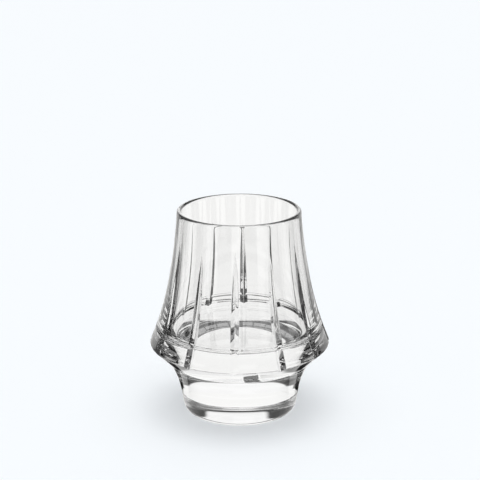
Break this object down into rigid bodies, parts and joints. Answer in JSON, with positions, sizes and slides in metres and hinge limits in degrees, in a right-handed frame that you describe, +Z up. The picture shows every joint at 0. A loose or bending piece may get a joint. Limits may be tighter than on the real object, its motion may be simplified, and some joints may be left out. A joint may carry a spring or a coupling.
{
  "type": "mixing glass",
  "caption": "Bell-shaped cut-crystal bar glass with a flared shoulder, mitre cuts, a ring cut, a heavy solid bottom and a waisted foot.",
  "frame": {"origin": "centre of the flat base, on the surface that the glass stands on", "axes": "+Z up along the glass's axis, towards the mouth; one mitre cut lies on each of -Y, +Y, -X and +X"},
  "size_m": [0.0862, 0.0862, 0.1],
  "materials": {
    "bowl_glass": "clear crystal, polished, with wheel-cut mitres and ring",
    "foot_glass": "clear crystal, polished"
  },
  "bodies": {
    "root": {"cut_bowl": "bowl_glass", "foot": "foot_glass"}
  },
  "joints": []
}
